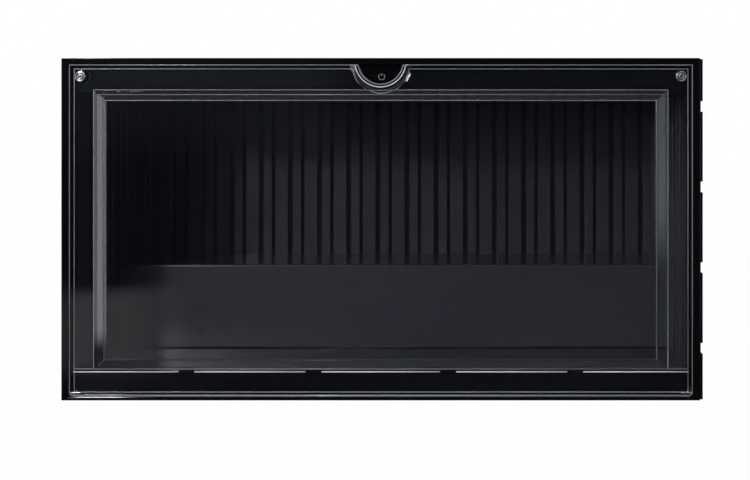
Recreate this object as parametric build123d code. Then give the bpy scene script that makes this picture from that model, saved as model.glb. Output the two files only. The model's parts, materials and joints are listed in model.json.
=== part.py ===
from build123d import *
import os

# Figure display case: a black casing with ribbed walls inside, a raised step for the second
# row, and a clear front cover that tips forward on two pins and is held shut by magnets.
# Every length is in millimetres. The pieces are drawn with x from the middle of the case,
# y back from its front rim and z up from its underside, and are moved to the part's own
# frame when they are written.

# Case
case_width = 343.6
case_height = 184.2
case_depth = 133.0
wall = 2.6
rim_side = 3.8
rim_top = 3.3
rim_bottom = 1.6
running_gap = 0.3
fitting_gap = 0.15
shell_round = 0.6
edge_round = 0.5

# Cabin
cabin_side = 6.4
cabin_floor = 15.3
cabin_roof = 5.9
groove_wide = 3.4
groove_thin = 2.3
land_narrow = 5.5
land_wide = 8.4
groove_depth = 2.2
groove_slope = 0.5
first_groove = 13.5
last_land = 4.0

# Front cover
cover_skin = 2.2
cover_edge = 4.0
cover_rib = 2.4
cover_chamfer = 0.5
cover_corner = 1.8
window_side = 13.2
window_top = 13.6
window_bottom = 15.0
window_proud = 2.0
bevel_side = 6.1
bevel_top = 5.4
bevel_bottom = 4.7
recess_inset = 1.0
notch_radius = 12.0
notch_rise = 1.6
notch_shoulder = 2.5
collar_land = 1.7
collar_bevel = 3.0
ledge_depth = 1.5
ledge_rise = 0.3

# Cover fittings
pin_radius = 0.8
pin_fit = 0.05
pin_running = 0.08
pin_in_cover = 5.6
pin_short = 0.6
knuckle_length = 8.0
knuckle_inset = 0.1
ring_radius = 2.8
ring_thickness = 2.4
ring_hole = 1.1
ring_from_side = 6.0
ring_from_top = 6.2
boss_wall = 1.4
ring_head_radius = 1.9
ring_head_depth = 1.0
ring_thread = 0.9
ring_drive_radius = 0.7
ring_drive_depth = 0.6
keeper_radius = 3.0
keeper_thickness = 2.0

# Front bezel
bezel_thickness = 2.5
header_height = 12.3
tab_width = 8.1
tab_height = 1.6
tab_places = (36.2, 104.6)
lug_height = 8.6
lug_thickness = 1.8
lug_reach = 1.7
lug_places = (84.1, 158.4)

# Power button and its switch
button_width = 7.0
button_height = 5.4
button_below_top = 9.7
button_travel = 0.6
button_stand = 0.2
button_flange = 1.1
button_flange_thickness = 1.0
stem_radius = 1.2
stem_length = 0.8
plunger_radius = 1.5
plunger_length = 1.4
plunger_bore = 1.6
plunger_bore_depth = 1.6
switch_size = 6.2
switch_depth = 3.0
switch_board_width = 26.0
switch_board_height = 9.0
board_thickness = 1.2
switch_post = 2.25
switch_post_place = 9.5

# Step
step_height = 50.4
step_setback = 60.0
step_wall = 2.4
step_side_gap = 0.4
step_ribs = (55.0,)
stop_width = 24.0
stop_thickness = 2.0
stop_height = 3.0
stop_places = (-100.0, 0.0, 100.0)

# Floor and ceiling
deck_skin = 2.4
deck_wall = 2.0
deck_ribs = 3
deck_boss = 3.5
deck_screw_side = 31.8
deck_screw_end = 30.0
ceiling_skin = 2.0
ceiling_boss = 3.5
ceiling_screw_side = 40.0
ceiling_screw_end = 45.0

# Light bar
light_setback = 18.0
light_width = 12.0
light_drop = 4.6
light_end = 19.8
diffuser_wall = 1.2
led_board_width = 8.8
led_side_gap = 2.0
chip_length = 3.5
chip_width = 2.8
chip_height = 0.8
chip_pitch = 20.0
lead_width = 5.0
lead_thickness = 0.5
lead_lap = 6.0
lead_above_ceiling = 0.2

# Back, power inlet and its board
rear_thickness = 2.4
rear_space = 6.95
post_size = 8.0
control_side = 60.0
control_low = 20.0
control_width = 60.0
control_height = 30.0
standoff_radius = 2.5
standoff_inset = 4.0
socket_width = 9.0
socket_height = 3.3
socket_wall = 0.4
socket_setback = 0.4
socket_length = 6.8
socket_tongue = 0.7
socket_tongue_width = 6.6
socket_well = 5.5
chip_body = 8.0
coil_radius = 3.0
part_height = 1.6
lead_slot = 8.0

# Screws and feet
screw_radius = 1.5
screw_length = 8.0
screw_head_radius = 2.75
screw_head_depth = 1.6
screw_clearance = 0.2
screw_pilot = 0.02
drive_radius = 1.0
drive_depth = 0.9
small_screw_radius = 1.0
small_screw_length = 4.0
small_head_radius = 1.9
small_head_depth = 1.2
small_drive_radius = 0.6
small_drive_depth = 0.7
foot_radius = 6.0
foot_thickness = 2.0
foot_proud = 0.8
foot_gap = 0.1
foot_side = 21.8
foot_end = 18.0

# Joining strip
strip_proud = 1.4
strip_depth = 12.0
strip_notch_height = 5.8
strip_notch_depth = 1.1
strip_notch_pitch = 43.4
strip_notch_first = 28.0
strip_notches = 4
strip_peg_radius = 1.2
strip_peg_length = 1.5
strip_peg_depth = 7.0
strip_peg_gap = 0.05

# Places that follow from the sizes
half_width = case_width / 2
shell_half = half_width - wall
shell_top = case_height - wall
rim_half = half_width - rim_side
rim_depth = cover_edge + running_gap
lining_half = shell_half - fitting_gap
lining_low = wall + fitting_gap
lining_high = shell_top - fitting_gap
cabin_half = half_width - cabin_side
cabin_ceiling = case_height - cabin_roof
cover_half = rim_half - running_gap
cover_low = rim_bottom + running_gap
cover_high = case_height - rim_top - running_gap
hinge_radius = cover_edge / 2
hinge_depth = hinge_radius
hinge_height = cover_low + hinge_radius
notch_height = cover_high + notch_rise
window_low = cover_low + window_bottom
window_high = cover_high - window_top
window_half = cover_half - window_side
ring_side = cover_half - ring_from_side
ring_height = cover_high - ring_from_top
bezel_back = rim_depth + bezel_thickness
header_low = cabin_ceiling - header_height
bar_front = cover_skin + running_gap
bar_low = hinge_height + hinge_radius + 2 * running_gap
cabin_front = bezel_back + fitting_gap
liner_thickness = lining_half - cabin_half
rear_front = case_depth - rear_thickness
back_liner_back = rear_front - rear_space
cabin_depth = back_liner_back - liner_thickness
cabin_back = cabin_depth - fitting_gap
button_height_up = case_height - button_below_top
button_front = rim_depth - button_stand
flange_front = bezel_back + running_gap
stem_front = flange_front + button_flange_thickness
plunger_front = stem_front + stem_length
switch_front = plunger_front + button_travel + fitting_gap
switch_back = switch_front + switch_depth
step_top = cabin_floor + step_height
step_half = cabin_half - step_side_gap
panel_half = cabin_half - fitting_gap
ceiling_top = cabin_ceiling + ceiling_skin
light_half = cabin_half - light_end + running_gap
light_back = light_setback + light_width
light_middle = light_setback + light_width / 2
chip_top = cabin_ceiling - board_thickness
socket_back = case_depth - socket_setback
board_back = socket_back - socket_length
board_front = board_back - board_thickness
control_left = control_side - control_width / 2
socket_up = control_low + control_height / 2


def block(low, high):
    size = [b - a for a, b in zip(low, high)]
    middle = [(a + b) / 2 for a, b in zip(low, high)]
    return Pos(*middle) * Box(*size)


def upright(sketch, near, far):
    standing = Pos(0, near, 0) * Rot(90, 0, 0) * sketch
    return extrude(standing, amount=far - near, dir=(0, 1, 0))


def rod_back(radius, x, z, near, far):
    return Pos(x, (near + far) / 2, z) * Rot(90, 0, 0) * Cylinder(radius, far - near)


def rod_across(radius, y, z, left, right):
    return Pos((left + right) / 2, y, z) * Rot(0, 90, 0) * Cylinder(radius, right - left)


def rod_up(radius, x, y, low, high):
    return Pos(x, y, (low + high) / 2) * Cylinder(radius, high - low)


def taper(near_half, near_low, near_high, near, far_half, far_low, far_high, far):
    faces = []
    for half, low, high, depth in ((near_half, near_low, near_high, near), (far_half, far_low, far_high, far)):
        flat = Pos(0, (low + high) / 2) * Rectangle(2 * half, high - low)
        faces.append(Pos(0, depth, 0) * Rot(90, 0, 0) * flat)
    return loft(faces, ruled=True)


def ribbed_panel(length):
    # Seen from above: a flat face along x at y = 0, with wide and thin grooves in turn.
    points = [(0, liner_thickness), (0, 0)]
    start = first_groove
    wide = True
    while start < length - last_land - groove_wide:
        width = groove_wide if wide else groove_thin
        points += [(start, 0), (start + groove_slope, groove_depth)]
        points += [(start + width - groove_slope, groove_depth), (start + width, 0)]
        start += width + (land_narrow if wide else land_wide)
        wide = not wide
    points += [(length, 0), (length, liner_thickness)]
    profile = make_face(Polyline(*points, close=True))
    return Pos(0, 0, lining_low) * extrude(profile, amount=lining_high - lining_low)


def screw(radius, length, head_radius, head_depth, socket_radius, socket_depth):
    # The head's flat face is at z = 0 and the thread runs down from it.
    body = Pos(0, 0, -head_depth / 2) * Cylinder(head_radius, head_depth)
    body += Pos(0, 0, -(head_depth + length) / 2) * Cylinder(radius, length - head_depth)
    socket = extrude(RegularPolygon(socket_radius, 6), amount=-socket_depth)
    return body - socket


def large_screw():
    return screw(screw_radius, screw_length, screw_head_radius, screw_head_depth, drive_radius, drive_depth)


def small_screw():
    return screw(
        small_screw_radius, small_screw_length, small_head_radius, small_head_depth,
        small_drive_radius, small_drive_depth,
    )


# Screw places, each as x and y or x and z
deck_screw_places = [
    (side * (half_width - deck_screw_side), depth)
    for side in (-1, 1)
    for depth in (deck_screw_end, cabin_depth - deck_screw_end)
]
ceiling_screw_places = [
    (side * (half_width - ceiling_screw_side), depth)
    for side in (-1, 1)
    for depth in (ceiling_screw_end, cabin_depth - ceiling_screw_end / 2)
]
foot_places = [
    (side * (half_width - foot_side), depth)
    for side in (-1, 1)
    for depth in (foot_end, case_depth - foot_end)
]
rear_screw_places = [
    (x, z)
    for x in (-shell_half + post_size / 2, 0, shell_half - post_size / 2)
    for z in (wall + post_size / 2, shell_top - post_size / 2)
]
strip_pegs = [
    strip_notch_first + strip_notch_pitch * (step + 0.5)
    for step in range(strip_notches - 1)
]


def cover_outline():
    plate = Pos(0, (cover_low + cover_high) / 2) * Rectangle(2 * cover_half, cover_high - cover_low)
    plate -= Pos(0, notch_height) * Circle(notch_radius)
    plate = fillet(plate.vertices().sort_by(Axis.Y)[:2], radius=cover_corner)
    shoulders = [v for v in plate.vertices() if v.Y > window_high and abs(v.X) < 2 * notch_radius]
    return fillet(shoulders, radius=notch_shoulder)


def make_cover_pane():
    outline = cover_outline()
    pane = upright(outline, 0, cover_edge)
    pane = chamfer(pane.edges().group_by(Axis.Y)[0], length=cover_chamfer)
    pane -= upright(offset(outline, amount=-cover_rib), cover_skin, cover_edge)

    # The raised window, its hollow behind, and the collar round the finger notch
    window = taper(
        window_half - bevel_side, window_low + bevel_bottom, window_high - bevel_top, -window_proud,
        window_half, window_low, window_high, 0,
    )
    pane += chamfer(window.edges().group_by(Axis.Y)[0], length=edge_round)
    pane -= taper(
        window_half - bevel_side - recess_inset, window_low + bevel_bottom + recess_inset,
        window_high - bevel_top - recess_inset, cover_skin - window_proud,
        window_half - recess_inset, window_low + recess_inset, window_high - recess_inset, cover_skin,
    )
    collar_foot = notch_radius + collar_land + collar_bevel
    cone = Cone(collar_foot, notch_radius + collar_land, window_proud)
    collar = Pos(0, -window_proud / 2, notch_height) * Rot(90, 0, 0) * cone
    pane += collar & upright(outline, -window_proud, 0)

    # Bosses for the rings and knuckles for the pins
    for side in (-1, 1):
        pane += rod_back(ring_radius + boss_wall, side * ring_side, ring_height, 0, cover_edge)
        ends = sorted((side * (cover_half - cover_corner), side * (cover_half - knuckle_length)))
        pane += rod_across(hinge_radius - knuckle_inset, hinge_depth, hinge_height, *ends)

    # A ledge lies along the top of the bar, with a gap for each of the bar's tabs
    reach = cover_half - cover_rib / 2
    ledge_low = cabin_floor + ledge_rise
    ledge_high = cabin_floor + tab_height
    pane += block((-reach, cover_skin / 2, ledge_low), (reach, cover_skin + ledge_depth, ledge_high))
    for place in tab_places:
        for side in (-1, 1):
            gap = tab_width / 2 + running_gap
            low = (side * place - gap, cover_skin, ledge_low - running_gap)
            pane -= block(low, (side * place + gap, cover_edge, ledge_high + running_gap))

    # The bottom edge is a half round about the pins, so that it turns inside the rim
    edge = block((-case_width, 0, cover_low), (case_width, cover_edge, hinge_height))
    pane -= edge - rod_across(hinge_radius, hinge_depth, hinge_height, -case_width, case_width)

    for side in (-1, 1):
        ring_back = ring_thickness + fitting_gap
        pane -= rod_back(ring_radius + pin_fit, side * ring_side, ring_height, 0, ring_back)
        pane -= rod_back(ring_thread + pin_fit, side * ring_side, ring_height, 0, cover_edge)
        ends = sorted((side * cover_half, side * (cover_half - pin_in_cover - fitting_gap)))
        pane -= rod_across(pin_radius + pin_fit, hinge_depth, hinge_height, *ends)
        for height in lug_places:
            reach = lug_height / 2 + running_gap
            low, high = sorted((side * (cover_half - cover_rib - fitting_gap), side * rim_half))
            pane -= block((low, cover_skin, height - reach), (high, cover_edge, height + reach))
    return pane


def make_hinge_pins():
    inner = cover_half - pin_in_cover
    outer = half_width - pin_short
    left = rod_across(pin_radius, hinge_depth, hinge_height, -outer, -inner)
    return left + rod_across(pin_radius, hinge_depth, hinge_height, inner, outer)


def make_cover_magnets():
    rings = []
    for side in (-1, 1):
        ring = rod_back(ring_radius, side * ring_side, ring_height, 0, ring_thickness)
        ring -= rod_back(ring_hole, side * ring_side, ring_height, 0, ring_thickness)
        head_back = ring_head_depth + pin_fit
        rings.append(ring - rod_back(ring_head_radius + pin_fit, side * ring_side, ring_height, 0, head_back))
    return rings[0] + rings[1]


def make_cover_magnet_screws():
    one = screw(
        ring_thread, cover_edge, ring_head_radius, ring_head_depth, ring_drive_radius, ring_drive_depth
    )
    placed = [Pos(side * ring_side, 0, ring_height) * Rot(90, 0, 0) * one for side in (-1, 1)]
    return placed[0] + placed[1]


def make_shell():
    shell = block((-half_width, 0, 0), (half_width, case_depth, case_height))
    shell = fillet(shell.edges().filter_by(Axis.Y), radius=shell_round)
    shell -= block((-shell_half, rim_depth, wall), (shell_half, case_depth, shell_top))
    shell -= block((-rim_half, 0, rim_bottom), (rim_half, rim_depth, case_height - rim_top))
    for x, z in rear_screw_places:
        reach = post_size / 2
        low = (x - reach, back_liner_back + fitting_gap, z - reach)
        shell += block(low, (x + reach, rear_front, z + reach))
        pilot_front = case_depth - screw_length
        shell -= rod_back(screw_radius + screw_pilot, x, z, pilot_front, rear_front)
    shell -= rod_across(pin_radius + pin_running, hinge_depth, hinge_height, -half_width, half_width)
    for x, y in deck_screw_places:
        shell -= rod_up(screw_radius + screw_clearance, x, y, 0, wall)
        shell -= rod_up(screw_head_radius + screw_clearance, x, y, 0, screw_head_depth)
    for x, y in ceiling_screw_places:
        shell -= rod_up(small_screw_radius + screw_pilot, x, y, shell_top, shell_top + wall / 2)
    for x, y in foot_places:
        shell -= rod_up(foot_radius + foot_gap, x, y, 0, foot_thickness - foot_proud)
    for z in strip_pegs:
        ends = (half_width - strip_peg_length - fitting_gap, half_width)
        shell -= rod_across(strip_peg_radius + strip_peg_gap, strip_peg_depth, z, *ends)
    return shell


def make_front_bezel():
    bezel = block((-lining_half, rim_depth, lining_low), (lining_half, bezel_back, lining_high))
    bezel -= block((-cabin_half, rim_depth, cabin_floor), (cabin_half, bezel_back, header_low))

    # The bar stands forward into the cover's edge rib, with its tabs on top
    bar_half = cover_half - cover_rib - 2 * running_gap
    bar = block((-bar_half, bar_front, bar_low), (bar_half, rim_depth, cabin_floor))
    bezel += fillet(bar.edges().group_by(Axis.Y)[0].filter_by(Axis.X), radius=edge_round)
    for place in tab_places:
        for side in (-1, 1):
            low = side * place - tab_width / 2
            bezel += block((low, bar_front, cabin_floor), (low + tab_width, bezel_back, cabin_floor + tab_height))
    for side in (-1, 1):
        lug_out = cover_half - running_gap
        low, high = sorted((side * lug_out, side * (lug_out - lug_thickness)))
        for height in lug_places:
            reach = lug_height / 2
            front = rim_depth - lug_reach
            bezel += block((low, front, height - reach), (high, rim_depth, height + reach))
        pocket_front = bezel_back - keeper_thickness
        bezel -= rod_back(keeper_radius + pin_fit, side * ring_side, ring_height, pocket_front, bezel_back)
        bezel += rod_back(switch_post, side * switch_post_place, button_height_up, bezel_back, switch_back)
        pilot_front = switch_back + board_thickness + small_head_depth - small_screw_length
        pilot = small_screw_radius + screw_pilot
        bezel -= rod_back(pilot, side * switch_post_place, button_height_up, pilot_front, switch_back)
    opening = Ellipse(button_width / 2 + running_gap, button_height / 2 + running_gap)
    return bezel - upright(Pos(0, button_height_up) * opening, rim_depth, bezel_back)


def make_keeper_magnets():
    front = bezel_back - keeper_thickness
    left = rod_back(keeper_radius, -ring_side, ring_height, front, bezel_back)
    return left + rod_back(keeper_radius, ring_side, ring_height, front, bezel_back)


def make_power_button():
    place = Pos(0, button_height_up)
    cap = upright(place * Ellipse(button_width / 2, button_height / 2), button_front, flange_front)
    flange = Ellipse(button_width / 2 + button_flange, button_height / 2 + button_flange)
    cap += upright(place * flange, flange_front, stem_front)
    return cap + rod_back(stem_radius, 0, button_height_up, stem_front, plunger_front)


def make_switch_plunger():
    return rod_back(plunger_radius, 0, button_height_up, plunger_front, plunger_front + plunger_length)


def make_tact_switch():
    reach = switch_size / 2
    low = (-reach, switch_front, button_height_up - reach)
    body = block(low, (reach, switch_back, button_height_up + reach))
    return body - rod_back(plunger_bore, 0, button_height_up, switch_front, switch_front + plunger_bore_depth)


def make_switch_board():
    top = cabin_ceiling - running_gap
    low = (-switch_board_width / 2, switch_back, top - switch_board_height)
    board = block(low, (switch_board_width / 2, switch_back + board_thickness, top))
    for side in (-1, 1):
        hole = small_screw_radius + screw_clearance
        back = switch_back + board_thickness
        board -= rod_back(hole, side * switch_post_place, button_height_up, switch_back, back)
    return board


def make_switch_screws():
    head = switch_back + board_thickness + small_head_depth
    placed = [
        Pos(side * switch_post_place, head, button_height_up) * Rot(-90, 0, 0) * small_screw()
        for side in (-1, 1)
    ]
    return placed[0] + placed[1]


def make_left_liner():
    panel = Rot(0, 0, 90) * ribbed_panel(cabin_back - cabin_front)
    return Pos(-cabin_half, cabin_front, 0) * panel


def make_back_liner():
    liner = Pos(-lining_half, cabin_depth, 0) * ribbed_panel(2 * lining_half)
    slot = block(
        (control_side - lead_slot / 2, cabin_depth, ceiling_top),
        (control_side + lead_slot / 2, back_liner_back, lining_high),
    )
    liner -= slot
    for x in (control_left + standoff_inset, control_left + control_width - standoff_inset):
        for z in (control_low + standoff_inset, control_low + control_height - standoff_inset):
            liner += rod_back(standoff_radius, x, z, back_liner_back, board_front)
    return liner


def make_base_deck():
    deck = block((-panel_half, cabin_front, wall), (panel_half, cabin_back, cabin_floor))
    bay = (2 * panel_half - (deck_ribs + 2) * deck_wall) / (deck_ribs + 1)
    for number in range(deck_ribs + 1):
        left = -panel_half + deck_wall + number * (bay + deck_wall)
        low = (left, cabin_front + deck_wall, wall)
        deck -= block(low, (left + bay, cabin_back - deck_wall, cabin_floor - deck_skin))
    for x, y in deck_screw_places:
        deck += rod_up(deck_boss, x, y, wall, cabin_floor - deck_skin)
        deck -= rod_up(screw_radius + screw_pilot, x, y, wall, screw_length)
    for place in stop_places:
        front = step_setback + step_wall + running_gap
        low = (place - stop_width / 2, front, cabin_floor)
        deck += block(low, (place + stop_width / 2, front + stop_thickness, cabin_floor + stop_height))
    return deck


def make_deck_screws():
    screws = [Pos(x, y, 0) * Rot(180, 0, 0) * large_screw() for x, y in deck_screw_places]
    return Compound(screws)


def make_step_riser():
    step = block((-step_half, step_setback, cabin_floor), (step_half, cabin_back, step_top))
    nosing = step.edges().filter_by(Axis.X).group_by(Axis.Y)[0].sort_by(Axis.Z)[-1]
    step = fillet(nosing, radius=2 * edge_round)
    inner_half = step_half - step_wall
    hollow_front = step_setback + step_wall
    step -= block((-inner_half, hollow_front, cabin_floor), (inner_half, cabin_back, step_top - step_wall))
    for place in step_ribs:
        for side in (-1, 1):
            low = side * place - step_wall / 2
            step += block((low, hollow_front, cabin_floor), (low + step_wall, cabin_back, step_top))
    return step


def make_ceiling_panel():
    panel = block((-panel_half, cabin_front, cabin_ceiling), (panel_half, cabin_back, ceiling_top))
    for x, y in ceiling_screw_places:
        panel += rod_up(ceiling_boss, x, y, ceiling_top, shell_top)
        panel -= rod_up(small_screw_radius + screw_clearance, x, y, cabin_ceiling, shell_top)
    reach = lead_width / 2 + running_gap
    depth = lead_thickness / 2 + running_gap
    low = (control_side - reach, light_middle - depth, cabin_ceiling)
    return panel - block(low, (control_side + reach, light_middle + depth, ceiling_top))


def make_ceiling_screws():
    head = cabin_ceiling - small_head_depth
    screws = [Pos(x, y, head) * Rot(180, 0, 0) * small_screw() for x, y in ceiling_screw_places]
    return Compound(screws)


def make_light_diffuser():
    low = (-light_half, light_setback, cabin_ceiling - light_drop)
    diffuser = block(low, (light_half, light_back, cabin_ceiling))
    inner_low = (
        -light_half + diffuser_wall, light_setback + diffuser_wall, cabin_ceiling - light_drop + diffuser_wall
    )
    inner_high = (light_half - diffuser_wall, light_back - diffuser_wall, cabin_ceiling)
    return diffuser - block(inner_low, inner_high)


def make_led_board():
    half = light_half - led_side_gap
    low = (-half, light_middle - led_board_width / 2, chip_top)
    return block(low, (half, light_middle + led_board_width / 2, cabin_ceiling))


def make_led_chips():
    half = light_half - led_side_gap - chip_pitch / 2
    count = int(2 * half / chip_pitch) + 1
    chips = []
    for number in range(count):
        x = (number - (count - 1) / 2) * chip_pitch
        low = (x - chip_length / 2, light_middle - chip_width / 2, chip_top - chip_height)
        chips.append(block(low, (x + chip_length / 2, light_middle + chip_width / 2, chip_top)))
    return Compound(chips)


def make_control_board():
    high = (control_left + control_width, board_back, control_low + control_height)
    board = block((control_left, board_front, control_low), high)
    chip_low = (control_left + chip_body, board_back, socket_up - chip_body / 2)
    board += block(chip_low, (control_left + 2 * chip_body, board_back + part_height, socket_up + chip_body / 2))
    coil_side = control_left + control_width - chip_body
    return board + rod_back(coil_radius, coil_side, socket_up, board_back, board_back + 2 * part_height)


def make_power_socket():
    def tube(inset):
        width = socket_width - 2 * inset
        height = socket_height - 2 * inset
        return Pos(control_side, socket_up) * RectangleRounded(width, height, height / 2 - socket_wall / 2)

    socket = upright(tube(0), board_back, socket_back)
    socket -= upright(tube(socket_wall), socket_back - socket_well, socket_back)
    tongue_low = (control_side - socket_tongue_width / 2, board_back, socket_up - socket_tongue / 2)
    tongue_high = (
        control_side + socket_tongue_width / 2, socket_back - socket_wall, socket_up + socket_tongue / 2
    )
    return socket + block(tongue_low, tongue_high)


def make_lighting_lead():
    # Up the back of the rear wall, forward over the ceiling and down to the light bar
    lead_low = ceiling_top + lead_above_ceiling
    lead_high = lead_low + lead_thickness
    lead_back = board_back + lead_thickness
    drop_front = light_middle - lead_thickness / 2
    drop_back = light_middle + lead_thickness / 2
    foot = control_low + control_height - lead_lap
    points = [
        (board_back, foot), (lead_back, foot), (lead_back, lead_high), (drop_front, lead_high),
        (drop_front, cabin_ceiling), (drop_back, cabin_ceiling), (drop_back, lead_low), (board_back, lead_low),
    ]
    outline = Plane.YZ * make_face(Polyline(*points, close=True))
    return Pos(control_side - lead_width / 2, 0, 0) * extrude(outline, amount=lead_width, dir=(1, 0, 0))


def make_rear_cover():
    cover = block((-lining_half, rear_front, lining_low), (lining_half, case_depth, lining_high))
    for x, z in rear_screw_places:
        cover -= rod_back(screw_radius + screw_clearance, x, z, rear_front, case_depth)
        cover -= rod_back(screw_head_radius + screw_clearance, x, z, case_depth - screw_head_depth, case_depth)
    width = socket_width + 2 * running_gap
    height = socket_height + 2 * running_gap
    slot = RectangleRounded(width, height, height / 2 - fitting_gap)
    return cover - upright(Pos(control_side, socket_up) * slot, rear_front, case_depth)


def make_rear_cover_screws():
    screws = [Pos(x, case_depth, z) * Rot(-90, 0, 0) * large_screw() for x, z in rear_screw_places]
    return Compound(screws)


def make_rubber_feet():
    feet = [rod_up(foot_radius, x, y, -foot_proud, foot_thickness - foot_proud) for x, y in foot_places]
    return Compound(feet)


def make_joining_strip():
    outer = half_width + strip_proud
    strip = block((half_width, 0, shell_round), (outer, strip_depth, case_height - shell_round))
    for number in range(strip_notches):
        middle = strip_notch_first + number * strip_notch_pitch
        low = (outer - strip_notch_depth, 0, middle - strip_notch_height / 2)
        strip -= block(low, (outer, strip_depth, middle + strip_notch_height / 2))
    for z in strip_pegs:
        strip += rod_across(strip_peg_radius, strip_peg_depth, z, half_width - strip_peg_length, half_width)
    return strip


left_liner = make_left_liner()
pieces = {
    "shell": make_shell(),
    "front_bezel": make_front_bezel(),
    "keeper_magnets": make_keeper_magnets(),
    "left_liner": left_liner,
    "right_liner": mirror(left_liner, about=Plane.YZ),
    "back_liner": make_back_liner(),
    "base_deck": make_base_deck(),
    "deck_screws": make_deck_screws(),
    "ceiling_panel": make_ceiling_panel(),
    "ceiling_screws": make_ceiling_screws(),
    "light_diffuser": make_light_diffuser(),
    "led_board": make_led_board(),
    "led_chips": make_led_chips(),
    "lighting_lead": make_lighting_lead(),
    "tact_switch": make_tact_switch(),
    "switch_board": make_switch_board(),
    "switch_screws": make_switch_screws(),
    "control_board": make_control_board(),
    "power_socket": make_power_socket(),
    "rear_cover": make_rear_cover(),
    "rear_cover_screws": make_rear_cover_screws(),
    "rubber_feet": make_rubber_feet(),
    "joining_strip": make_joining_strip(),
    "cover_pane": make_cover_pane(),
    "hinge_pins": make_hinge_pins(),
    "cover_magnets": make_cover_magnets(),
    "cover_magnet_screws": make_cover_magnet_screws(),
    "power_button": make_power_button(),
    "switch_plunger": make_switch_plunger(),
    "step_riser": make_step_riser(),
}

# The origin is under the middle of the whole object: strip, window and feet included
to_frame = Pos(-strip_proud / 2, (window_proud - case_depth) / 2, foot_proud)
os.makedirs("parts", exist_ok=True)
for name, piece in pieces.items():
    export_step(to_frame * piece, f"parts/{name}.step")
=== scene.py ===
import json
import math

import bpy
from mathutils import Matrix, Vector


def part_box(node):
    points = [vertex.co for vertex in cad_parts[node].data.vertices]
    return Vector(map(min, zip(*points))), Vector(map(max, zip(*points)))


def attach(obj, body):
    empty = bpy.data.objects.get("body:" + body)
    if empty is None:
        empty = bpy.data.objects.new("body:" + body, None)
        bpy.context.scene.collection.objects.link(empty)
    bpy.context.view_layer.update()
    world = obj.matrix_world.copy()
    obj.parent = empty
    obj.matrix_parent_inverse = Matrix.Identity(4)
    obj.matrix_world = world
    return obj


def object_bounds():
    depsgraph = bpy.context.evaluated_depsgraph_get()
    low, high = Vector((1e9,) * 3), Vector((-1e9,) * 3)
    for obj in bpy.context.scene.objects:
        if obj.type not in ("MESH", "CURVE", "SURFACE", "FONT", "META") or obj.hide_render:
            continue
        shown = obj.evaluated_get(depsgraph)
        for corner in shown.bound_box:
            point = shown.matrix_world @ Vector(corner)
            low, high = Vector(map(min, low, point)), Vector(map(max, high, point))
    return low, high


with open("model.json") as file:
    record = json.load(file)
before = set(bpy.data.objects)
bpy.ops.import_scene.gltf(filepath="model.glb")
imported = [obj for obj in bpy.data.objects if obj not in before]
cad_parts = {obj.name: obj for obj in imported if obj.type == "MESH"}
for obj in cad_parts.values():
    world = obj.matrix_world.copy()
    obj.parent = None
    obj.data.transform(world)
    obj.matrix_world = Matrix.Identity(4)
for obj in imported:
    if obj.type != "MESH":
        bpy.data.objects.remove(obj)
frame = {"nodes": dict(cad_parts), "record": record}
frameLow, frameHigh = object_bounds()
nodes = frame["nodes"]
print("frame loaded:", len(nodes), "nodes")


# small helpers for node trees and meshes

def newMaterial(name):
    material = bpy.data.materials.new(name)
    material.use_nodes = True
    tree = material.node_tree
    return material, tree, tree.nodes["Principled BSDF"]


def addNode(tree, kind, **values):
    node = tree.nodes.new(kind)
    for key, value in values.items():
        setattr(node, key, value)
    return node


def feed(tree, socket, value):
    # another node's output is linked to the socket, and a plain value is set on it
    if isinstance(value, bpy.types.NodeSocket):
        tree.links.new(value, socket)
    else:
        socket.default_value = value


def noiseFrom(tree, scale, detail=3.0):
    place = addNode(tree, "ShaderNodeTexCoord")
    noise = addNode(tree, "ShaderNodeTexNoise")
    noise.inputs["Scale"].default_value = scale
    noise.inputs["Detail"].default_value = detail
    feed(tree, noise.inputs["Vector"], place.outputs["Object"])
    return noise.outputs["Fac"]


def spread(tree, source, low, high):
    # maps a 0 to 1 value to the range from low to high
    mapper = addNode(tree, "ShaderNodeMapRange")
    mapper.inputs["To Min"].default_value = low
    mapper.inputs["To Max"].default_value = high
    feed(tree, mapper.inputs["Value"], source)
    return mapper.outputs["Result"]


mixSockets = {"RGBA": (6, 7, 2), "FLOAT": (2, 3, 0)}  # the Mix node's two inputs and its output


def blend(tree, share, first, second, kind="RGBA"):
    node = addNode(tree, "ShaderNodeMix", data_type=kind)
    firstSocket, secondSocket, result = mixSockets[kind]
    feed(tree, node.inputs[0], share)
    feed(tree, node.inputs[firstSocket], first)
    feed(tree, node.inputs[secondSocket], second)
    return node.outputs[result]


def blendShaders(tree, share, first, second):
    node = addNode(tree, "ShaderNodeMixShader")
    for socket, value in zip(node.inputs, (share, first, second)):
        feed(tree, socket, value)
    return node.outputs["Shader"]


def calculate(tree, operation, *values):
    node = addNode(tree, "ShaderNodeMath", operation=operation)
    for socket, value in zip(node.inputs, values):
        feed(tree, socket, value)
    return node.outputs["Value"]


def bump(tree, source, strength, height, normal=None):
    node = addNode(tree, "ShaderNodeBump")
    node.inputs["Strength"].default_value = strength
    node.inputs["Distance"].default_value = height
    feed(tree, node.inputs["Height"], source)
    if normal is not None:
        feed(tree, node.inputs["Normal"], normal)
    return node.outputs["Normal"]


def softEdge(tree, radius):
    node = addNode(tree, "ShaderNodeBevel", samples=6)
    node.inputs["Radius"].default_value = radius
    return node.outputs["Normal"]


def newPiece(name, vertices, faces, material, smooth=False):
    mesh = bpy.data.meshes.new(name)
    mesh.from_pydata(vertices, [], faces)
    for face in mesh.polygons:
        face.use_smooth = smooth
    mesh.materials.append(material)
    piece = bpy.data.objects.new(name, mesh)
    bpy.context.collection.objects.link(piece)
    return piece


# black plastics: the glossy casing, and the satin cabin whose walls have smoother grooves, painted darker
# as shade

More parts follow.
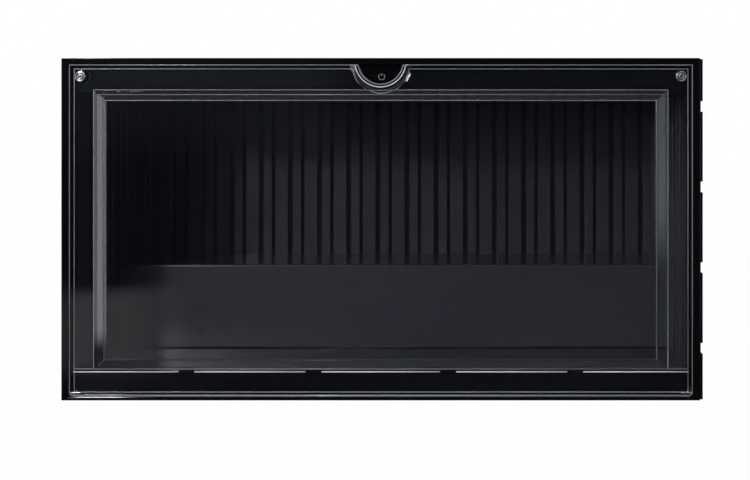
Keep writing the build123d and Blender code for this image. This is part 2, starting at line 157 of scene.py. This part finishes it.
mouldedBlack = {
    "dark": (0.0008, 0.0008, 0.0010, 1), "light": (0.0018, 0.0018, 0.0023, 1),
    "mottleScale": 55.0, "smooth": 0.05, "rough": 0.085,
    "peelScale": 900.0, "peelStrength": 0.05, "peelHeight": 0.0002,
    "edgeRadius": 0.0004, "refraction": 1.49,
}

cabinBlack = {
    "dark": (0.0118, 0.0122, 0.0152, 1), "light": (0.0134, 0.0138, 0.0172, 1),
    "mottleScale": 140.0, "smooth": 0.196, "rough": 0.206,
    # the grooves' colour is painted shade
    "grooveDepth": 0.0004, "paintedGrooveShade": (0.0018, 0.0018, 0.0024, 1), "grooveRoughness": 0.09,
    "peelScale": 1100.0, "peelStrength": 0.03, "peelHeight": 0.0002,
    "edgeRadius": 0.0005, "refraction": 1.49,
}


def grooveShadeMask(tree, node, depth):
    # one in the grooves of a ribbed wall, which lie behind its flat lands; it masks the painted shade in
    # the grooves
    low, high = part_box(node)
    if high.y - low.y < high.x - low.x:
        axis, plane, away = "Y", low.y, 1
    elif low.x < 0:
        axis, plane, away = "X", high.x, -1
    else:
        axis, plane, away = "X", low.x, 1
    place = addNode(tree, "ShaderNodeTexCoord")
    split = addNode(tree, "ShaderNodeSeparateXYZ")
    feed(tree, split.inputs["Vector"], place.outputs["Object"])
    mask = addNode(tree, "ShaderNodeMapRange")
    mask.inputs["From Min"].default_value = plane + away * depth / 2
    mask.inputs["From Max"].default_value = plane + away * depth * 2
    feed(tree, mask.inputs["Value"], split.outputs[axis])
    return mask.outputs["Result"]


def blackPlastic(name, look, wall=None):
    material, tree, shader = newMaterial(name)
    mottle = noiseFrom(tree, look["mottleScale"])
    paint = blend(tree, mottle, look["dark"], look["light"])
    gloss = spread(tree, mottle, look["smooth"], look["rough"])
    if wall:
        # painted shade: the grooves are painted darker, and made smoother
        grooveShade = grooveShadeMask(tree, wall, look["grooveDepth"])
        paint = blend(tree, grooveShade, paint, look["paintedGrooveShade"])
        gloss = blend(tree, grooveShade, gloss, look["grooveRoughness"], "FLOAT")
    feed(tree, shader.inputs["Base Color"], paint)
    feed(tree, shader.inputs["Roughness"], gloss)
    peel = noiseFrom(tree, look["peelScale"], detail=1.0)
    edge = softEdge(tree, look["edgeRadius"])
    normal = bump(tree, peel, look["peelStrength"], look["peelHeight"], edge)
    feed(tree, shader.inputs["Normal"], normal)
    shader.inputs["IOR"].default_value = look["refraction"]
    return material


# the cover's clear plastic, very slightly wavy

clearPlastic = {
    "tint": (0.975, 0.985, 1.0, 1), "smooth": 0.0, "rough": 0.012, "refraction": 1.49,
    "waveScale": 9.0, "waveStrength": 0.004, "waveHeight": 0.0008,
}


def clearCover():
    look = clearPlastic
    material, tree, shader = newMaterial("clearPlastic")
    shader.inputs["Base Color"].default_value = look["tint"]
    shader.inputs["IOR"].default_value = look["refraction"]
    shader.inputs["Transmission Weight"].default_value = 1.0
    wave = noiseFrom(tree, look["waveScale"], detail=2.0)
    feed(tree, shader.inputs["Roughness"], spread(tree, wave, look["smooth"], look["rough"]))
    normal = bump(tree, wave, look["waveStrength"], look["waveHeight"])
    feed(tree, shader.inputs["Normal"], normal)
    # lamps shine through the cover onto what is behind it
    path = addNode(tree, "ShaderNodeLightPath")
    seeThrough = addNode(tree, "ShaderNodeBsdfTransparent")
    seeThrough.inputs["Color"].default_value = look["tint"]
    surface = blendShaders(tree, path.outputs["Is Shadow Ray"],
                           shader.outputs["BSDF"], seeThrough.outputs["BSDF"])
    feed(tree, tree.nodes["Material Output"].inputs["Surface"], surface)
    return material


# metals, each with a fine grain that is also a little rougher in places

metalGrain = {"detail": 4.0, "edgeRadius": 0.0002, "strength": 0.08, "height": 0.0001}

metals = {
    "brightNickel": {"colour": (0.74, 0.74, 0.76, 1), "smooth": 0.10, "rough": 0.22, "scratch": 1400.0},
    "pinSteel": {"colour": (0.70, 0.70, 0.72, 1), "smooth": 0.14, "rough": 0.30, "scratch": 1800.0},
    "screwSteel": {"colour": (0.10, 0.10, 0.11, 1), "smooth": 0.22, "rough": 0.38, "scratch": 1500.0},
    "socketSteel": {"colour": (0.60, 0.60, 0.62, 1), "smooth": 0.16, "rough": 0.30, "scratch": 1200.0},
}


def metal(name):
    look = metals[name]
    material, tree, shader = newMaterial(name)
    shader.inputs["Base Color"].default_value = look["colour"]
    shader.inputs["Metallic"].default_value = 1.0
    grain = noiseFrom(tree, look["scratch"], metalGrain["detail"])
    feed(tree, shader.inputs["Roughness"], spread(tree, grain, look["smooth"], look["rough"]))
    edge = softEdge(tree, metalGrain["edgeRadius"])
    normal = bump(tree, grain, metalGrain["strength"], metalGrain["height"], edge)
    feed(tree, shader.inputs["Normal"], normal)
    return material


# plain finishes of the small parts, with a faint mottle

plainGrain = {"roughSpread": 0.05, "strength": 0.1, "height": 0.0001}

plains = {
    "milkyPlastic": {
        "dark": (0.78, 0.79, 0.81, 1), "light": (0.86, 0.87, 0.89, 1), "rough": 0.42, "scale": 30.0,
    },
    "circuitBoard": {
        "dark": (0.010, 0.060, 0.030, 1), "light": (0.022, 0.105, 0.052, 1), "rough": 0.34, "scale": 380.0,
    },
    "chipYellow": {
        "dark": (0.70, 0.56, 0.16, 1), "light": (0.86, 0.72, 0.26, 1), "rough": 0.30, "scale": 500.0,
    },
    "switchPlastic": {
        "dark": (0.020, 0.020, 0.021, 1), "light": (0.034, 0.034, 0.036, 1), "rough": 0.45, "scale": 300.0,
    },
    "leadWhite": {
        "dark": (0.66, 0.66, 0.66, 1), "light": (0.76, 0.76, 0.76, 1), "rough": 0.48, "scale": 260.0,
    },
    "footRubber": {
        "dark": (0.012, 0.012, 0.012, 1), "light": (0.026, 0.026, 0.026, 1), "rough": 0.82, "scale": 700.0,
    },
    "markGrey": {
        "dark": (0.16, 0.16, 0.17, 1), "light": (0.22, 0.22, 0.23, 1), "rough": 0.40, "scale": 500.0,
    },
}


def plain(name):
    look = plains[name]
    material, tree, shader = newMaterial(name)
    noise = noiseFrom(tree, look["scale"])
    feed(tree, shader.inputs["Base Color"], blend(tree, noise, look["dark"], look["light"]))
    smooth, rough = look["rough"] - plainGrain["roughSpread"], look["rough"] + plainGrain["roughSpread"]
    feed(tree, shader.inputs["Roughness"], spread(tree, noise, smooth, rough))
    normal = bump(tree, noise, plainGrain["strength"], plainGrain["height"])
    feed(tree, shader.inputs["Normal"], normal)
    return material


shellMaterial = blackPlastic("mouldedBlack", mouldedBlack)
finishes = {
    "black_shell": shellMaterial, "button_black": shellMaterial,
    "cabin_black": blackPlastic("cabinBlack", cabinBlack), "clear_plastic": clearCover(),
    "bright_nickel": metal("brightNickel"), "pin_steel": metal("pinSteel"),
    "screw_steel": metal("screwSteel"), "socket_steel": metal("socketSteel"),
    "milky_plastic": plain("milkyPlastic"), "circuit_board": plain("circuitBoard"),
    "chip_yellow": plain("chipYellow"), "switch_plastic": plain("switchPlastic"),
    "lead_white": plain("leadWhite"), "foot_rubber": plain("footRubber"),
}
walls = ("left_liner", "right_liner", "back_liner")
# each ribbed wall's material has its grooves painted darker, as shade
ribbedWalls = {name: blackPlastic(name + "FinishWithGrooveShade", cabinBlack, name) for name in walls}
for part in frame["record"]["subparts"]:
    for materialSlot in nodes[part["node"]].material_slots:
        materialSlot.material = ribbedWalls.get(part["node"], finishes[part["material_slot"]])
print("materials:", len(finishes), "finishes on", len(nodes), "nodes")


# the plain power mark on the button: a broken ring with a short bar in its gap

powerMark = {
    "ring": 0.00165, "bar": 0.0014, "barReach": 1.15, "width": 0.00036, "height": 0.00008,
    "gap": 40, "steps": 48,
}


def strip(points, width, low, high):
    # a flat ribbon in the front plane that follows the points, as vertices and faces
    vertices, faces = [], []
    for number, (x, z) in enumerate(points):
        ahead = points[min(number + 1, len(points) - 1)]
        behind = points[max(number - 1, 0)]
        along = Vector((ahead[0] - behind[0], ahead[1] - behind[1])).normalized()
        side = Vector((-along.y, along.x)) * width / 2
        for depth in (low, high):
            vertices.append((x + side.x, depth, z + side.y))
            vertices.append((x - side.x, depth, z - side.y))
    for number in range(len(points) - 1):
        a, b = 4 * number, 4 * number + 4
        faces += [(a, a + 1, b + 1, b), (a + 2, b + 2, b + 3, a + 3)]
        faces += [(a, b, b + 2, a + 2), (a + 1, a + 3, b + 3, b + 1)]
    end = 4 * (len(points) - 1)
    faces += [(0, 2, 3, 1), (end, end + 1, end + 3, end + 2)]
    return vertices, faces


def makePowerMark():
    look = powerMark
    low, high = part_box("power_button")
    centre = (low + high) / 2
    front = low.y
    gap = math.radians(look["gap"])
    ring = []
    for number in range(look["steps"] + 1):
        angle = math.pi / 2 + gap + (2 * math.pi - 2 * gap) * number / look["steps"]
        across, up = look["ring"] * math.cos(angle), look["ring"] * math.sin(angle)
        ring.append((centre.x + across, centre.z + up))
    top = centre.z + look["ring"] * look["barReach"]
    bar = [(centre.x, top - look["bar"] * (1 - share)) for share in (0, 0.5, 1)]
    vertices, faces = [], []
    for points in (ring, bar):
        more, joins = strip(points, look["width"], front, front - look["height"])
        faces += [tuple(index + len(vertices) for index in face) for face in joins]
        vertices += more
    piece = newPiece("powerMark", vertices, faces, plain("markGrey"))
    piece.data.validate()
    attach(piece, "power_button")


makePowerMark()
print("power mark made")


# painted highlights on the cover's edges: thin round beads of pale opaque plastic, which stand for the
# light that gathers in the edges of clear plastic, and one dim bead of painted shade; lengths are in
# metres from the cover's outline

edges = {
    "round": 0.00030, "footRound": 0.00058, "sides": 8,  # the beads' radii and number of sides
    "mitreLimit": 0.5, "nothing": 1e-9,  # how far a corner may reach out, and the least length
    "frontInset": 0.00012, "bottomInset": 0.00060, "frontDepth": 0.00042,
    "ribInset": 0.00215, "ribDepth": 0.00235,
    "bottomRound": 0.0018, "leastCorner": 0.0003, "cornerSteps": 5,
    "notchRadius": 0.012, "notchRise": 0.0016, "notchSteps": 16,
    "shoulder": 0.0025, "leastShoulder": 0.0004, "shoulderSteps": 8,
    "collarTop": 0.0137, "rimLean": 8, "collarLean": 10, "collarSteps": 32,
    "footRadius": 0.0124, "footDrop": 0.0026,
    "windowProud": 0.002, "windowSide": 0.0132, "windowTop": 0.0136, "windowBottom": 0.0150,
    "bevelSide": 0.0061, "bevelTop": 0.0054, "bevelBottom": 0.0047,
    "hollow": 0.0027, "windowShare": 0.8, "hollowShare": 0.7,  # shares of the common radius
    "barTop": 0.0134, "ledge": 0.0016, "ledgeShare": 1.15,
    "tabs": (0.0362, 0.1046), "tabHalf": 0.00435,
}

# the beads' colours: painted highlights, and painted shade for the dim one
paintedEdgeTones = {
    "paintedEdgeLighting": (0.16, 0.165, 0.175),
    "paintedBrightHighlight": (0.46, 0.47, 0.50),
    "paintedEdgeShade": (0.020, 0.020, 0.024),
}
edgeGrain = {"scale": 260.0, "darker": 0.85, "lighter": 1.15, "rough": 0.18, "roughSpread": 0.05}

# each magnet ring has a turned lip and a groove, whose shade is painted as a dark steel bead, and its
# screw a polished rim:
# the share of the ring's radius, the bead's own radius and its metal
ringBeads = {
    "ringLip": (0.86, 0.00028, "brightNickel"), "ringGrooveShade": (0.66, 0.00020, "screwSteel"),
    "screwRim": (0.40, 0.00030, "brightNickel"),
}
ringTurn = {"end": 345, "steps": 23}

# a dark bead of painted shadow along the step's foot
paintedStepShadow = {"round": 0.00042, "sunk": 0.00012, "inset": 0.001}


# a bead's material, whose colour is painted highlight, or painted shade for the dim one
def paintedEdgeLighting(name):
    look = edgeGrain
    material, tree, shader = newMaterial(name)
    grain = noiseFrom(tree, look["scale"])
    darker, lighter = ([channel * look[share] for channel in paintedEdgeTones[name]] + [1]
                       for share in ("darker", "lighter"))
    feed(tree, shader.inputs["Base Color"], blend(tree, grain, darker, lighter))
    smooth, rough = look["rough"] - look["roughSpread"], look["rough"] + look["roughSpread"]
    feed(tree, shader.inputs["Roughness"], spread(tree, grain, smooth, rough))
    shader.inputs["IOR"].default_value = clearPlastic["refraction"]
    return material


def arcPoints(centre, radius, start, end, count):
    points = []
    for number in range(count + 1):
        angle = math.radians(start + (end - start) * number / count)
        points.append((centre[0] + radius * math.cos(angle), centre[1] + radius * math.sin(angle)))
    return points


def coverPath(inset, bottomInset, half, low, high, notch=edges["notchRadius"], drop=0.0):
    # the cover's outline, moved inwards, from the left of the notch round to its right
    look = edges
    radius = notch + inset
    shoulder = max(look["shoulder"] - inset, look["leastShoulder"])
    top = high - inset
    centre = (0, high + look["notchRise"] - drop)
    # the shoulder's arc touches the top edge from below and the notch's arc from outside
    rise = centre[1] - (top - shoulder)
    across = math.sqrt((radius + shoulder) ** 2 - rise ** 2)
    lean = math.degrees(math.atan2(rise, across))
    corner = max(look["bottomRound"] - inset, look["leastCorner"])
    side = half - inset
    bend = (side - corner, low + bottomInset + corner)
    points = arcPoints(centre, radius, 270, 360 - lean, look["notchSteps"])
    points += arcPoints((across, top - shoulder), shoulder, 180 - lean, 90, look["shoulderSteps"])
    points += [(side, top), (side, low + bottomInset + corner)]
    points += arcPoints(bend, corner, 0, -90, look["cornerSteps"])
    mirror = [(-x, z) for x, z in reversed(points)]
    return points + mirror


def sweep(name, path, depth, radius, closed, material, body="cover"):
    # a round bead along the path, which lies in an upright plane at this depth
    sides, nothing, mitreLimit = (edges[key] for key in ("sides", "nothing", "mitreLimit"))
    count = len(path)
    vertices, faces = [], []
    for number, (x, z) in enumerate(path):
        if closed:
            behind, ahead = path[number - 1], path[(number + 1) % count]
        else:
            behind, ahead = path[max(number - 1, 0)], path[min(number + 1, count - 1)]
        into = Vector((x - behind[0], z - behind[1]))
        out = Vector((ahead[0] - x, ahead[1] - z))
        into = into.normalized() if into.length > nothing else out.normalized()
        out = out.normalized() if out.length > nothing else into
        along = (into + out).normalized()
        side = Vector((-along.y, along.x)) / max(along.dot(out), mitreLimit)
        for step in range(sides):
            angle = 2 * math.pi * step / sides
            reach = radius * math.cos(angle)
            vertices.append((x + side.x * reach, depth + radius * math.sin(angle), z + side.y * reach))
    rings = count if closed else count - 1
    for number in range(rings):
        first, second = number * sides, (number + 1) % count * sides
        for step in range(sides):
            after = (step + 1) % sides
            faces.append((first + step, first + after, second + after, second + step))
    if not closed:
        faces.append(tuple(range(sides))[::-1])
        faces.append(tuple((count - 1) * sides + step for step in range(sides)))
    piece = newPiece(name, vertices, faces, material, smooth=True)
    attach(piece, body)


def makeEdgeBeads():
    look = edges
    low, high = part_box("cover_pane")
    half = (high.x - low.x) / 2
    middle = (high.x + low.x) / 2
    front = low.y + look["windowProud"]
    # pale and bright are painted highlights, dim is painted shade
    pale, bright, dim = (paintedEdgeLighting(name) for name in paintedEdgeTones)
    thin = look["round"]

    def placed(points):
        return [(x + middle, z) for x, z in points]

    outer = coverPath(look["frontInset"], look["bottomInset"], half, low.z, high.z)
    sweep("coverFrontEdgeHighlight", placed(outer), front + look["frontDepth"], thin, True, pale)
    rib = look["ribInset"]
    inner = coverPath(rib, rib, half, low.z, high.z, look["footRadius"], look["footDrop"])
    sweep("coverRibEdgeHighlight", placed(inner), front + look["ribDepth"], thin, True, pale)

    # the lower edge is turned over, and its painted highlight is thicker
    across = half - look["bottomRound"]
    level = low.z + look["footRound"]
    foot = placed([(-across, level), (across, level)])
    sweep("coverFootEdgeHighlight", foot, front + look["footRound"], look["footRound"], False, pale)

    centre = (middle, high.z + look["notchRise"])
    lip = front - look["windowProud"] + thin
    # painted highlights along the notch's collar: a pale one at its rim and a brighter one at its top edge
    collars = (("collarRimHighlight", look["notchRadius"] + thin, look["rimLean"], pale),
               ("collarEdgeHighlight", look["collarTop"], look["collarLean"], bright))
    for name, radius, lean, material in collars:
        arc = arcPoints(centre, radius, 180 + lean, 360 - lean, look["collarSteps"])
        sweep(name, arc, lip, thin, False, material)

    # the raised window: a painted highlight line round its foot, one in the hollow at its top, and one
    # round its rim, with painted shade along the rim's bottom
    bottom, top = low.z + look["windowBottom"], high.z - look["windowTop"]
    side = half - look["windowSide"]
    foot = [(-side, bottom), (side, bottom), (side, top), (-side, top)]
    sweep("windowFootHighlight", placed(foot), front + thin, thin * look["windowShare"], True, pale)
    level = top - look["hollow"]
    hollow = [(-side + look["hollow"], level), (side - look["hollow"], level)]
    sweep("windowHollowHighlight", placed(hollow), front + thin, thin * look["hollowShare"], False, pale)
    side -= look["bevelSide"] + thin
    bottom += look["bevelBottom"] + thin
    top -= look["bevelTop"] + thin
    rim = [(-side, bottom), (-side, top), (side, top), (side, bottom)]
    sweep("windowRimHighlight", placed(rim), lip, thin * look["windowShare"], False, pale)
    # the rim's bottom line is dim: painted shade
    sill = [(-side, bottom), (side, bottom)]
    sweep("windowSillShade", placed(sill), lip, thin * look["windowShare"], False, dim)

    # the ledge along the bar has a pale painted highlight along its top and a brighter one along its foot,
    # which is broken at the tabs
    reach = half - look["ribInset"]
    level = low.z + look["barTop"]
    crest = placed([(-reach, level + look["ledge"]), (reach, level + look["ledge"])])
    sweep("ledgeTopHighlight", crest, front + thin, thin, False, pale)
    gaps = sorted(sign * place for place in look["tabs"] for sign in (-1, 1))
    starts = [-reach] + [place + look["tabHalf"] for place in gaps]
    ends = [place - look["tabHalf"] for place in gaps] + [reach]
    thick = thin * look["ledgeShare"]
    for number, (start, end) in enumerate(zip(starts, ends)):
        line = placed([(start, level), (end, level)])
        sweep("ledgeFootHighlight" + str(number + 1), line, front + thin, thick, False, bright)
    makeRingBeads(front)


def makeRingBeads(front):
    ringMetals = {name: metal(name) for name in ("brightNickel", "screwSteel")}
    ringLow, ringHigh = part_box("cover_magnets")
    radius = (ringHigh.z - ringLow.z) / 2
    level = (ringHigh.z + ringLow.z) / 2
    for place, side in ((ringLow.x + radius, "Left"), (ringHigh.x - radius, "Right")):
        # the groove's bead is painted shade, the lip and screw rim are metal
        for kind, (share, thick, finish) in ringBeads.items():
            circle = arcPoints((place, level), radius * share, 0, ringTurn["end"], ringTurn["steps"])
            sweep(kind + side, circle, front, thick, True, ringMetals[finish])


def makePaintedStepShadow():
    # a thin dark round bead along the foot of the step, where it meets the floor, as painted shadow in the
    # gap between them
    look = paintedStepShadow
    low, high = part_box("step_riser")
    level = low.z + look["round"]
    line = [(low.x + look["inset"], level), (high.x - look["inset"], level)]
    depth = low.y + look["sunk"]
    sweep("paintedStepShadow", line, depth, look["round"], False, shellMaterial, "step")


makeEdgeBeads()
makePaintedStepShadow()
print("cover edges and step foot made")


# the studio: a pale floor and a white surround; shiny surfaces see a dim room with soft panels in it

studio = {
    "floorSize": 6.0, "floorColour": (0.62, 0.62, 0.63, 1), "floorRoughness": 0.9, "floorDrop": 0.0002,
    "whiteness": 0.985, "fill": 0.34,
    "front": (0.024, 0.027, 0.038, 1), "frontEnds": -0.80,  # how far round the dark front reaches,
    "around": (0.34, 0.35, 0.37, 1), "aroundStarts": 0.10,  # and where the room is fully pale
}

# each panel: compass angle from straight ahead of the front (left is minus) and height in degrees,
# its half width and half height, how soft its edges are, its brightness and its colour
panels = {
    "left": {"turn": -62, "rise": -2, "halfTurn": 17, "halfRise": 8, "softTurn": 1.5, "softRise": 1.5,
             "bright": 1.9, "colour": (0.96, 0.96, 1)},
    "right": {"turn": 48, "rise": 2, "halfTurn": 11, "halfRise": 5, "softTurn": 5, "softRise": 5,
              "bright": 0.95, "colour": (0.80, 0.90, 1)},
    "above": {"turn": -8, "rise": 44, "halfTurn": 34, "halfRise": 7, "softTurn": 9, "softRise": 9,
              "bright": 0.26, "colour": (0.95, 0.96, 1)},
    "lowLeft": {"turn": -30, "rise": -10.2, "halfTurn": 7.5, "halfRise": 1.6, "softTurn": 4.5,
                "softRise": 1.1, "bright": 0.40, "colour": (0.93, 0.94, 1)},
    "header": {"turn": -18, "rise": 5, "halfTurn": 6, "halfRise": 2, "softTurn": 4, "softRise": 4,
               "bright": 0.10, "colour": (0.60, 0.70, 1)},
    "behindLeft": {"turn": -150, "rise": 22, "halfTurn": 12, "halfRise": 7, "softTurn": 12,
                   "softRise": 12, "bright": 1.0, "colour": (1, 1, 1)},
    "behindRight": {"turn": 150, "rise": 22, "halfTurn": 12, "halfRise": 7, "softTurn": 12,
                    "softRise": 12, "bright": 1.0, "colour": (1, 1, 1)},
}


def straightRay(tree, path):
    # one for what the camera sees directly or straight through clear plastic, with no bounce before
    bounces = calculate(tree, "ADD", path.outputs["Diffuse Depth"], path.outputs["Glossy Depth"])
    none = calculate(tree, "LESS_THAN", bounces, 1)
    through = calculate(tree, "MULTIPLY", none, path.outputs["Is Transmission Ray"])
    return calculate(tree, "MAXIMUM", path.outputs["Is Camera Ray"], through)


def whiteToCamera(tree, shaded):
    # seen directly or straight through clear plastic it is white with a little of its shading,
    # and shiny surfaces look through it to the room's panels
    path = addNode(tree, "ShaderNodeLightPath")
    white = addNode(tree, "ShaderNodeEmission")
    white.inputs["Color"].default_value = (1, 1, 1, 1)
    seeThrough = addNode(tree, "ShaderNodeBsdfTransparent")
    seeThrough.inputs["Color"].default_value = (1, 1, 1, 1)
    seen = blendShaders(tree, studio["whiteness"], shaded, white.outputs["Emission"])
    straight = blendShaders(tree, straightRay(tree, path), shaded, seen)
    surface = blendShaders(tree, path.outputs["Is Glossy Ray"], straight, seeThrough.outputs["BSDF"])
    feed(tree, tree.nodes["Material Output"].inputs["Surface"], surface)


def makeFloor():
    half = studio["floorSize"] / 2
    level = -studio["floorDrop"]
    material, tree, shader = newMaterial("paleFloor")
    shader.inputs["Base Color"].default_value = studio["floorColour"]
    shader.inputs["Roughness"].default_value = studio["floorRoughness"]
    shader.inputs["Specular IOR Level"].default_value = 0.0
    whiteToCamera(tree, shader.outputs["BSDF"])
    corners = [(-half, -half, level), (half, -half, level), (half, half, level), (-half, half, level)]
    floor = newPiece("floor", corners, [(0, 1, 2, 3)], material)


def softBand(tree, angle, middle, half, soft):
    # one inside the band and nothing outside it, with a soft edge
    away = calculate(tree, "ABSOLUTE", calculate(tree, "SUBTRACT", angle, math.radians(middle)))
    band = addNode(tree, "ShaderNodeMapRange", interpolation_type="SMOOTHSTEP")
    band.inputs["From Min"].default_value = math.radians(half + soft)
    band.inputs["From Max"].default_value = math.radians(half)
    feed(tree, band.inputs["Value"], away)
    return band.outputs["Result"]


def background(tree, colour, strength=1.0):
    node = addNode(tree, "ShaderNodeBackground")
    feed(tree, node.inputs["Color"], colour)
    node.inputs["Strength"].default_value = strength
    return node.outputs["Background"]


def makeWorld():
    world = bpy.data.worlds.new("surround")
    bpy.context.scene.world = world
    world.use_nodes = True
    tree = world.node_tree
    tree.nodes.clear()
    output = addNode(tree, "ShaderNodeOutputWorld")
    path = addNode(tree, "ShaderNodeLightPath")
    direction = addNode(tree, "ShaderNodeTexCoord")
    split = addNode(tree, "ShaderNodeSeparateXYZ")
    feed(tree, split.inputs["Vector"], direction.outputs["Generated"])
    across, ahead, up = (split.outputs[axis] for axis in "XYZ")
    turn = calculate(tree, "ARCTAN2", across, calculate(tree, "MULTIPLY", ahead, -1))
    rise = calculate(tree, "ARCSINE", up)

    # dark straight ahead of the front, and pale at the sides, above and behind
    away = addNode(tree, "ShaderNodeMapRange", interpolation_type="SMOOTHSTEP")
    away.inputs["From Min"].default_value = studio["frontEnds"]
    away.inputs["From Max"].default_value = studio["aroundStarts"]
    feed(tree, away.inputs["Value"], ahead)
    room = blend(tree, away.outputs["Result"], studio["front"], studio["around"])
    for look in panels.values():
        wide = softBand(tree, turn, look["turn"], look["halfTurn"], look["softTurn"])
        high = softBand(tree, rise, look["rise"], look["halfRise"], look["softRise"])
        glow = [channel * look["bright"] for channel in look["colour"]] + [1]
        room = blend(tree, calculate(tree, "MULTIPLY", wide, high), room, glow)

    white = (1, 1, 1, 1)
    fill = background(tree, white, studio["fill"])
    shaded = blendShaders(tree, path.outputs["Is Diffuse Ray"], background(tree, room), fill)
    surface = blendShaders(tree, straightRay(tree, path), shaded, background(tree, white))
    feed(tree, output.inputs["Surface"], surface)


# each lamp: where it stands, what it points at, its size in metres, its power, and whether shiny
# surfaces mirror it
lamps = {
    "keyLamp": {"at": (-1.15, -2.05, 0.88), "to": (0.0, 0.0, 0.09), "size": (0.26, 0.26),
                "watts": 37, "mirrored": True},
    "overheadStrip": {"at": (0.0, -0.55, 1.30), "to": (0.0, -0.05, 0.05), "size": (1.70, 0.08),
                      "watts": 8, "mirrored": True},
    "backBox": {"at": (0.3, 1.50, 1.10), "to": (0.0, 0.0, 0.10), "size": (1.20, 0.80),
                "watts": 22, "mirrored": False},
}


def makeLamps():
    for name, look in lamps.items():
        light = bpy.data.lights.new(name, "AREA")
        light.shape = "RECTANGLE"
        light.size, light.size_y = look["size"]
        light.energy = look["watts"]
        lamp = bpy.data.objects.new(name, light)
        bpy.context.collection.objects.link(lamp)
        lamp.location = look["at"]
        aim = Vector(look["to"]) - Vector(look["at"])
        lamp.rotation_euler = aim.to_track_quat("-Z", "Y").to_euler()
        lamp.visible_camera = False
        lamp.visible_glossy = look["mirrored"]


# the camera: the photo was taken from right of the middle and well above it, with a shifted lens
cameraLook = {
    "fromFront": 0.480, "right": 0.0585, "height": 0.1333, "sensor": 36.0, "nearest": 0.01,
    "frontWidth": 0.4034, "pictureRight": -0.0038, "pictureHeight": 0.0871, "proud": 0.002,
}


def makeCamera():
    look = cameraLook
    data = bpy.data.cameras.new("photoCamera")
    camera = bpy.data.objects.new("photoCamera", data)
    bpy.context.collection.objects.link(camera)
    front = frameLow.y + look["proud"]
    camera.location = (look["right"], front - look["fromFront"], look["height"])
    camera.rotation_euler = (math.pi / 2, 0, 0)
    data.sensor_width = look["sensor"]
    data.lens = look["sensor"] * look["fromFront"] / look["frontWidth"]
    data.shift_x = (look["pictureRight"] - look["right"]) / look["frontWidth"]
    data.shift_y = (look["pictureHeight"] - look["height"]) / look["frontWidth"]
    data.clip_start = look["nearest"]
    bpy.context.scene.camera = camera


makeFloor()
makeWorld()
makeLamps()
makeCamera()
bpy.context.scene.view_settings.view_transform = "Standard"
print("studio ready")
